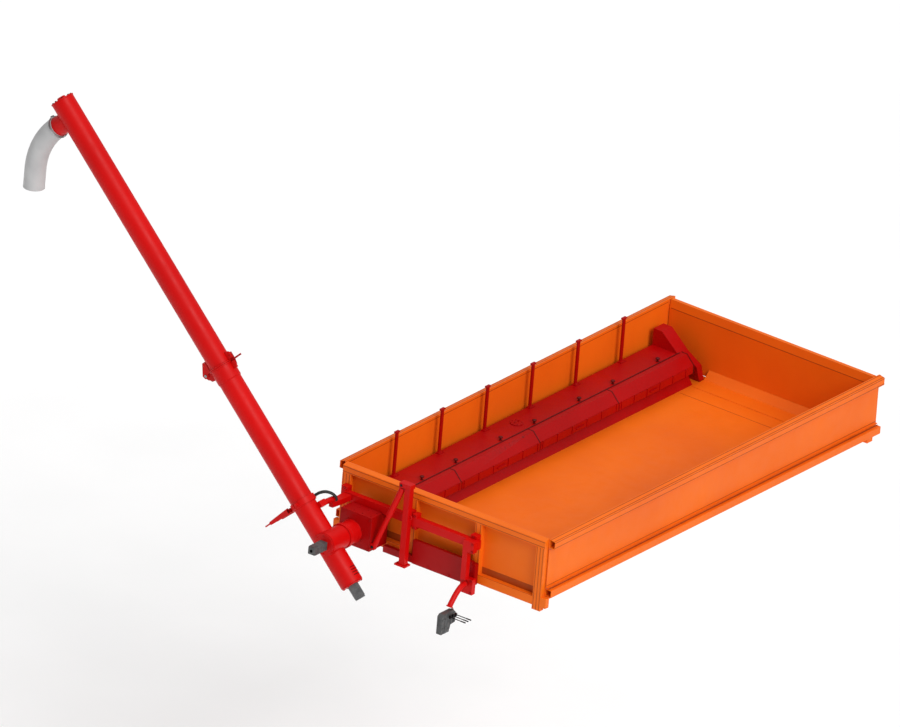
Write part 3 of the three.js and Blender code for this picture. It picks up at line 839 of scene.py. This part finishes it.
piece("fixed_tube_skin", fixed_tube, "red_paint", "root", ["horizontal_tube"])
piece("fixed_tube_welds", fixed_tube_welds, "red_paint", "root")
piece("collar_band", collar, "red_paint", body_of("swivel_collar"), ["swivel_collar"], bevel=0.001)
piece("collar_bolt", collar_bolt, "worn_steel", body_of("swivel_collar"), material=black_steel)
piece("transfer_box_bolts", transfer_box_trim, "dark_red_paint", "root")
piece("transfer_box_welds", transfer_box_welds, "dark_red_paint", "root")


# ---------------------------------------------------------------- frame on the end wall
def stay_mesh(mesh):
    """A telescopic stay: thick sleeve above, thinner rod below, a flattened eye at its foot."""
    top, bottom = Vector((-2.688, 0.376, 0.828)), Vector((-2.790, 0.566, 0.215))
    axis = (bottom - top).normalized()
    length = (bottom - top).length
    barrel(mesh, top, axis, 0, length / 2, 0.029, 48, 0.002)
    barrel(mesh, top, axis, length / 2 - 0.004, length, 0.024, 48, 0.002)
    block(mesh, (-2.812, -2.768), (0.556, 0.599), (0.178, 0.232))


def stay_pins(mesh):
    bolt(mesh, Vector((-2.812, 0.5775, 0.205)), -X, 0.010)
    bolt(mesh, Vector((-2.716, 0.376, 0.862)), -X, 0.009)


def mast_trim(mesh):
    """Lifting ring on the mast and the bolts through its foot plate."""
    low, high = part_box("mast")
    ring_centre = Vector((-2.678, 0.279, 0.560))
    ring = circle(ring_centre, X, 0.020, 40)
    sweep(mesh, [*ring, ring[0]], lambda s: 0.005, 12)
    for y in (low.y + 0.012, high.y - 0.032):
        bolt(mesh, Vector((low.x + 0.006, y, low.z + 0.016)), Z, 0.005)


def console_mesh(mesh):
    """The lock arm: a plate arm from the upper bar, a post, and the bar that holds the auger."""
    prism(mesh, [
        (-2.647, 0.960), (-2.647, 1.055), (-2.720, 1.050),
        (-2.900, 1.030), (-2.900, 0.985), (-2.740, 0.965),
    ], 0.490, 0.545)
    block(mesh, (-2.900, -2.866), (0.994, 1.028), (0.540, 0.578))
    start, end = Vector((-2.981, 1.021, 0.562)), Vector((-2.865, 1.012, 0.562))
    barrel(mesh, start, (end - start).normalized(), 0, (end - start).length, 0.027, 48, 0.003)


ARM_Y = -0.384
ARM_ROUTE = [
    (-2.672, 0.120), (-2.740, 0.102), (-2.800, 0.058),
    (-2.848, 0.008), (-2.876, -0.026), (-2.889, -0.048),
]


def control_arm_mesh(mesh):
    """The bent tube that carries the valve block, with a collar at its end."""
    path = smooth_path([(x, ARM_Y, z) for x, z in ARM_ROUTE], 8)
    sweep(mesh, path, lambda s: 0.026, 40)
    toward = (path[-1] - path[-2]).normalized()
    barrel(mesh, path[-1], toward, -0.012, -0.002, 0.0335, 40, 0.001)


piece("stay_rod", stay_mesh, "red_paint", "root", ["stay"], bevel=0.001)
piece("stay_bolts", stay_pins, "worn_steel", "root", material=black_steel)
piece("mast_ring", mast_trim, "red_paint", "root")
piece("lock_console_arm", console_mesh, "red_paint", "root", ["lock_console"], bevel=0.0015)
piece("control_arm_tube", control_arm_mesh, "red_paint", "root", ["control_arm"])


# ---------------------------------------------------------------- valve block
LEVER_X = (-2.865, -2.907, -2.949)
LEVER_Z = -0.107


def valve_trim(mesh):
    """Spool caps, pipe ports and tie bolts of the sectional valve."""
    low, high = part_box("valve_block")
    for x in LEVER_X:
        barrel(mesh, Vector((x, low.y, LEVER_Z)), -Y, -0.004, 0.001, 0.015, 32, 0.0005)
        for z in (-0.160, -0.225 if x < -2.92 else -0.178):
            barrel(mesh, Vector((x, low.y, z)), -Y, -0.004, 0.005, 0.011, 6, 0.001)
        barrel(mesh, Vector((x, (low.y + high.y) / 2, -0.066)), Z, -0.006, 0.001, 0.014, 6, 0.001)
    for y in (low.y + 0.012, high.y - 0.012):
        for z in (-0.110, -0.240):
            barrel(mesh, Vector((low.x, y, z)), X, 0.0002, 0.006, 0.007, 6, 0.001)
    for x in (-2.991, -3.033):
        for z in (-0.120, -0.205):
            barrel(mesh, Vector((x, low.y, z)), -Y, -0.004, 0.005, 0.012, 32, 0.001)


def lever_mesh(number, x):
    """A flat pivot block and a thin rod that thickens slightly at its grip."""
    def build(mesh):
        low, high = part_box(f"valve_lever_{number}")
        block(mesh, (x - 0.009, x + 0.009), (-0.456, -0.437), (low.z, high.z))
        revolve(mesh, Vector((x, 0, LEVER_Z)), -Y, [
            (0, 0.450), (0.0042, 0.450), (0.0042, 0.560),
            (0.0060, 0.566), (0.0060, 0.617), (0.004, 0.620), (0, 0.620),
        ], 24)

    return build


piece("valve_fittings", valve_trim, "motor_grey", "root")
for number, lever_x in enumerate(LEVER_X, 1):
    piece(f"valve_lever_rod_{number}", lever_mesh(number, lever_x), "worn_steel", f"lever_{number}",
          [f"valve_lever_{number}"], bevel=0.001, material=black_steel)


# ---------------------------------------------------------------- hydraulic hoses
HOSE_ROUTE = [
    (-2.868, 0.968, 0.560), (-2.872, 0.978, 0.590), (-2.896, 1.012, 0.622), (-2.930, 1.056, 0.634),
    (-2.962, 1.096, 0.622), (-2.982, 1.122, 0.600), (-2.990, 1.130, 0.592),
]
HOSE_PITCH = 0.022


def hose_path(number):
    """The second hose runs beside the first, one pitch away."""
    shift = HOSE_PITCH * (number - 1)
    return smooth_path([(x + 0.8 * shift, y + 0.6 * shift, z) for x, y, z in HOSE_ROUTE], 8)


def hose_radius(share):
    """Crimped ferrules stand a little proud at both ends."""
    return 0.0100 if 0.10 < share < 0.90 else 0.0108


def hose(number):
    made = piece(f"hydraulic_hose_skin_{number}",
                 lambda mesh: sweep(mesh, hose_path(number), hose_radius, 28), "hose_black", None,
                 [f"hydraulic_hose_{number}"])
    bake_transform(made)


hose(1)
hose(2)


# ---------------------------------------------------------------- trough
RIDGE = Vector(joints["hood_2_hinge"]["pos_m"])
KNOB_X = (-1.721, -1.204, -0.520, -0.005, 0.677, 1.193, 1.877)
GATE_GAPS = 5  # gaps between the keeper bars in front of each intake gate
HOOD_FOLD_Y, HOOD_FOLD_Z = 0.750, 0.350  # the two folds of the hood sections


def ridge_hinge(mesh):
    """A piano hinge along the ridge of the trough, where the hoods turn, in very dark red as painted
    shade of the ridge's groove.
    """
    low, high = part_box("trough_cover")
    knuckle, gap = 0.150, 0.004
    for i in range(int((high.x - low.x) / knuckle)):
        start = Vector((low.x + gap + i * knuckle, RIDGE.y, RIDGE.z + 0.001))
        barrel(mesh, start, X, 0, knuckle - gap, 0.0065, 16, 0.001)


def cover_knobs(mesh):
    """Clamping knobs beside the ridge."""
    for x in KNOB_X:
        revolve(mesh, Vector((x, RIDGE.y + 0.034, RIDGE.z)), Z, [
            (0, 0), (0.015, 0), (0.015, 0.003), (0.007, 0.005), (0.007, 0.018),
            (0.019, 0.022), (0.022, 0.028), (0.020, 0.034), (0.012, 0.038), (0, 0.039),
        ], 28)


def port_trim(mesh):
    """Screws and a lifting bow on the inspection port."""
    low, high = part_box("inspection_port")
    centre = Vector(((low.x + high.x) / 2, (low.y + high.y) / 2, high.z))
    bolt_ring(mesh, centre, Z, 0.050, 8, 0.0055)
    bow = smooth_path([centre + Vector((x, 0, z)) for x, z in (
        (-0.026, -0.001), (-0.026, 0.012), (-0.018, 0.019),
        (0.018, 0.019), (0.026, 0.012), (0.026, -0.001),
    )])
    sweep(mesh, bow, lambda s: 0.0035, 14)


def hood_strap(number):
    """The strap that covers the joint at a hood section's far end, in very dark red as painted shade of
    the joint.
    """
    low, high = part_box(f"hood_section_{number}")
    front, top, edge = low.y, high.z, RIDGE.y - 0.006
    proud = 0.0015
    strap = [
        (edge, top), (edge, top + proud), (HOOD_FOLD_Y - 0.0006, top + proud),
        (front - proud, HOOD_FOLD_Z + 0.0007), (front - proud, low.z + 0.002),
        (front, low.z + 0.002), (front, HOOD_FOLD_Z), (HOOD_FOLD_Y, top),
    ]
    return lambda mesh: prism(mesh, strap, high.x - 0.013, high.x - 0.001, along_x)


def gate_keepers(number):
    """Bars in front of the intake gate that keep it against the hood as it slides."""
    low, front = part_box(f"hood_section_{number}")[0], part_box(f"hood_section_{number}")[0].y

    def build(mesh):
        gate_low, gate_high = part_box(f"intake_gate_{number}")
        span = gate_high.x - gate_low.x
        top = HOOD_FOLD_Z + 0.002
        for i in range(GATE_GAPS + 1):
            x = gate_low.x + 0.030 + (span - 0.060) * i / GATE_GAPS
            width = (x - 0.007, x + 0.007)
            block(mesh, width, (front - 0.0100, front - 0.0050), (low.z + 0.002, top))
            block(mesh, width, (front - 0.0060, front + 0.001), (top - 0.005, top))

    return build


def stanchion_trim(mesh):
    """Foot bolts and a weld at the foot of each stanchion."""
    for i in range(1, 7):
        low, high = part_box(f"stanchion_{i}")
        x = (low.x + high.x) / 2
        for side in (-1, 1):
            bolt(mesh, Vector((x + side * 0.028, low.y + 0.012, low.z + 0.0065)), Z, 0.006)
        foot = Vector((x, 1.0735, low.z + 0.0075))
        weld(mesh, line(foot - X * 0.016, foot + X * 0.016), 0.003)


piece("ridge_hinge", ridge_hinge, "dark_red_paint", "root", material=dark_red_and_painted_shade)
piece("cover_knobs", cover_knobs, "dark_red_paint", "root", material=dark_red_and_painted_shade)
piece("port_screws", port_trim, "dark_red_paint", "root")
for section in range(1, 5):
    body = f"hood_{section}"
    piece(f"hood_strap_{section}", hood_strap(section), "dark_red_paint", body, material=dark_red_and_painted_shade)
    piece(f"gate_keepers_{section}", gate_keepers(section), "dark_red_paint", body, bevel=0.0005)
piece("stanchion_bolts", stanchion_trim, "dark_red_paint", "root")


# ---------------------------------------------------------------- seams and folds of the body, in painted shade
def ribbon(mesh, a, b, across, up, width=0.006, proud=0.0008):
    """A flat bead from a to b, lying on a face whose normal is up."""
    section = ((-0.5, -0.0005), (0.5, -0.0005), (0.5, proud), (-0.5, proud))
    loft(mesh, [
        [Vector(end) + across * (w * width) + up * h for w, h in section]
        for end in (a, b)
    ])


RIM_FOLDS = (0.697, 0.746)  # heights of the folds of both end rims


def wall_seams(mesh):
    """Folded edges of the end wall, its ribs and its corner posts, seen from outside, drawn as dark
    lines of painted shade.
    """
    low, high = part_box("end_wall")
    face = low.x
    for z in RIM_FOLDS:
        ribbon(mesh, (face, low.y, z), (face, high.y, z), Z, -X)
    for rib in (-0.400, 0.333):
        for off in (-0.022, 0.022):
            ribbon(mesh, (face, rib + off, 0.10), (face, rib + off, 0.684), Y, -X)
    for side, name in ((-1, "right"), (1, "left")):
        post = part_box(f"front_corner_post_{name}")[0].x
        for y in (1.068, 1.102, 1.135):
            ribbon(mesh, (post, side * y, 0.062), (post, side * y, 0.682), Y, -X)
        beam = post + 0.001
        ribbon(mesh, (beam, side * 1.054, 0.182), (beam, side * 0.436, 0.182), Z, -X)


def painted_recess_shade(mesh):
    """Painted shade: dark strips on the wall's skirt, which closes the recess between the panel and the
    bottom beam.
    """
    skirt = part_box("end_wall")[1].x - 0.005
    for y in ((-1.053, -0.437), (-0.363, 0.296), (0.370, 0.690)):
        block(mesh, (skirt - 0.0012, skirt + 0.0004), y, (0.1825, 0.2495))


def floor_seams(mesh):
    """The last cross joint of the floor, before the sloped plate, drawn as a dark line of painted
    shade.
    """
    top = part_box("floor_plate")[1].z
    ribbon(mesh, (1.985, -1.140, top), (1.985, 0.640, top), X, Z)


def headboard_seams(mesh):
    """Folds of the headboard's rim outside, and the edge of its panel inside, drawn as dark lines of
    painted shade.
    """
    low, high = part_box("headboard")
    for z in RIM_FOLDS:
        ribbon(mesh, (high.x, low.y, z), (high.x, high.y, z), Z, X)
    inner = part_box("floor_plate")[1].x + 0.0005
    ribbon(mesh, (inner, low.y + 0.02, 0.690), (inner, high.y - 0.02, 0.690), Z, -X)


def side_seams(side):
    """Folds along a dropside, drawn as dark lines of painted shade: under its rail, above its lower lip
    and along the rail's top.
    """
    name = "right" if side < 0 else "left"
    low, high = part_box(f"dropside_{name}")
    skin, rail = 1.1645, 1.223
    slope = Vector((0, side * 13, 54.5)).normalized()
    along = Vector((0, side * 54.5, -13)).normalized()

    def build(mesh):
        for z in (0.668, 0.302):
            ribbon(mesh, (low.x, side * skin, z), (high.x, side * skin, z), Z, Y * side)
        for z in (0.697, 0.748):
            ribbon(mesh, (low.x, side * rail, z), (high.x, side * rail, z), Z, Y * side)
        for share in (0.12, 0.80):
            start = Vector((low.x, side * 1.1685, 0.770)) + along * (0.056 * share)
            ribbon(mesh, start, start + X * (high.x - low.x), along, slope)
        inside = side * 1.1585
        for z in (0.300, 0.745):
            ribbon(mesh, (low.x + 0.02, inside, z), (high.x - 0.10, inside, z), Z, Y * -side)

    return build


def side_hinges(mesh):
    """Hinge rods in the gaps under the dropsides, and their knuckles, in dark orange as painted shade
    of the gaps.
    """
    low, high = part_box("edge_beam_right")
    length = high.x - low.x - 0.02
    for joint in ("side_right_hinge", "side_left_hinge"):
        place = Vector(joints[joint]["pos_m"])
        barrel(mesh, Vector((low.x + 0.01, place.y, place.z)), X, 0, length, 0.0045, 16, 0.001)
        for i in range(6):
            start = Vector((low.x + 0.30 + i * 0.86, place.y, place.z))
            barrel(mesh, start, X, 0, 0.090, 0.0058, 20, 0.001)


# These pieces are painted shade: dark orange lines, strips and rods where the body's folds, joints,
# gaps and recess fall into shade.
piece("wall_seams", wall_seams, "orange_paint", "root", material=painted_shade_orange)
piece("painted_recess_shade", painted_recess_shade, "orange_paint", "root", material=painted_shade_orange)
piece("floor_seams", floor_seams, "orange_paint", "root", material=painted_shade_orange)
piece("headboard_seams", headboard_seams, "orange_paint", "root", material=painted_shade_orange)
piece("side_hinge_rods", side_hinges, "orange_paint", "root", material=painted_shade_orange)
piece("side_seams_right", side_seams(-1), "orange_paint", "side_right", material=painted_shade_orange)
piece("side_seams_left", side_seams(1), "orange_paint", "side_left", material=painted_shade_orange)


# ---------------------------------------------------------------- bolts of the frame
FRAME_BOLTS = [
    *[(-2.620, y, z) for y in (-0.400, 0.333, 1.065) for z in (0.453, 0.577)],
    *[(-2.646, 0.250, z) for z in (0.456, 0.572)],
    *[(-2.606, y, 0.100) for y in (-0.380, -0.150, 0.080)],
    *[(-2.660, y, z) for y in (-0.440, -0.338) for z in (0.036, 0.154)],
    *[(-2.704, -0.453, z) for z in (0.470, 0.542)],
]


# Beads where the bar meets the mast and the right post, then the mast's foot.
FRAME_WELDS = [
    *[((x, a, z), (x, b, z)) for z in (0.474, 0.554)
      for x, a, b in ((-2.6465, 0.281, 0.341), (-2.6485, -0.404, -0.350))],
    *[((-2.708, y, 0.0825), (-2.648, y, 0.0825)) for y in (0.281, 0.341)],
]


def frame_bolts(mesh):
    for place in FRAME_BOLTS:
        bolt(mesh, Vector(place), -X, 0.009)


def frame_welds(mesh):
    """The straight beads, and a round one where the control arm leaves the post."""
    for start, end in FRAME_WELDS:
        weld(mesh, line(start, end), 0.004)
    root = circle(Vector((-2.6745, ARM_Y, 0.1195)), (X * -0.96 - Z * 0.25).normalized(), 0.0265)
    weld(mesh, root, 0.003, closed=True)


piece("frame_bolts", frame_bolts, "dark_red_paint", "root")
piece("frame_welds", frame_welds, "red_paint", "root")


# ---------------------------------------------------------------- small parts of the discharge auger
def painted_drain_slots(mesh):
    """Four slots low on the tube's foot, on the side away from the body: thin very dark bands on the
    tube, painted shade in place of open slots.
    """
    inner, outer = TUBE_R - 0.001, TUBE_R + 0.0005
    for row in range(4):
        low = FOOT_T + 0.050 + row * 0.026
        high = low + 0.008
        rows = []
        for k in range(17):
            angle = math.radians(-16 + 67 * k / 16)
            rows.append([
                auger(radius * math.sin(angle), -radius * math.cos(angle), height)
                for radius, height in ((inner, low), (outer, low), (outer, high), (inner, high))
            ])
        loft(mesh, rows)


def latch_trim(mesh):
    """Pivot bolt of the fold latch."""
    pivot = Vector(joints["latch_swing"]["pos_m"])
    bolt(mesh, pivot + X * 0.018, X, 0.009)


def fold_bolts(face, axis):
    return lambda mesh: flange_bolts(mesh, face, axis)


piece("painted_drain_slots", painted_drain_slots, "red_paint", "discharge_lower", material=dark_red_and_painted_shade)
piece("latch_pivot", latch_trim, "worn_steel", "latch", material=black_steel)
piece("fold_bolts_lower", fold_bolts(LOWER_END - FLANGE_DEPTH, -T), "red_paint", "discharge_lower")
piece("fold_bolts_upper", fold_bolts(UPPER_START + FLANGE_DEPTH, T), "red_paint", "discharge_upper")


# ---------------------------------------------------------------- floor and light
FLOOR_Z = -5.0
FLOOR_HALF = 40
WORLD_STRENGTH = 0.45
LIGHTS = (  # name, direction to the light, strength, spread in degrees
    ("key", Vector((-0.30, -0.76, 0.58)), 1.75, 28),
    ("top", Vector((0.10, 0.05, 1.0)), 0.95, 70),
)


def studio():
    world = bpy.data.worlds.new("studio")
    world.use_nodes = True
    background = world.node_tree.nodes["Background"]
    background.inputs["Color"].default_value = (1, 1, 1, 1)
    background.inputs["Strength"].default_value = WORLD_STRENGTH
    bpy.context.scene.world = world
    for name, towards, strength, spread in LIGHTS:
        data = bpy.data.lights.new(name, "SUN")
        data.energy = strength
        data.angle = math.radians(spread)
        lamp = bpy.data.objects.new(name, data)
        lamp.rotation_mode = "QUATERNION"
        lamp.rotation_quaternion = towards.to_track_quat("Z", "Y")
        bpy.context.scene.collection.objects.link(lamp)


def floor():
    finish = Finish("studio_floor")
    tone = finish.spread(finish.noise(0.8, 3), 0, 1)
    base = finish.mix(tone, srgb(252, 252, 252), srgb(249, 249, 249))
    finish.link(base, finish.shader.inputs["Base Color"])
    finish.set(Roughness=0.9, Specular_IOR_Level=0.1)
    mesh = bmesh.new()
    side = (-FLOOR_HALF, FLOOR_HALF)
    block(mesh, side, side, (FLOOR_Z - 0.05, FLOOR_Z))
    data = bpy.data.meshes.new("studio_floor")
    mesh.to_mesh(data)
    mesh.free()
    data.materials.append(finish.material)
    made = bpy.data.objects.new("studio_floor", data)
    bpy.context.scene.collection.objects.link(made)


studio()
floor()
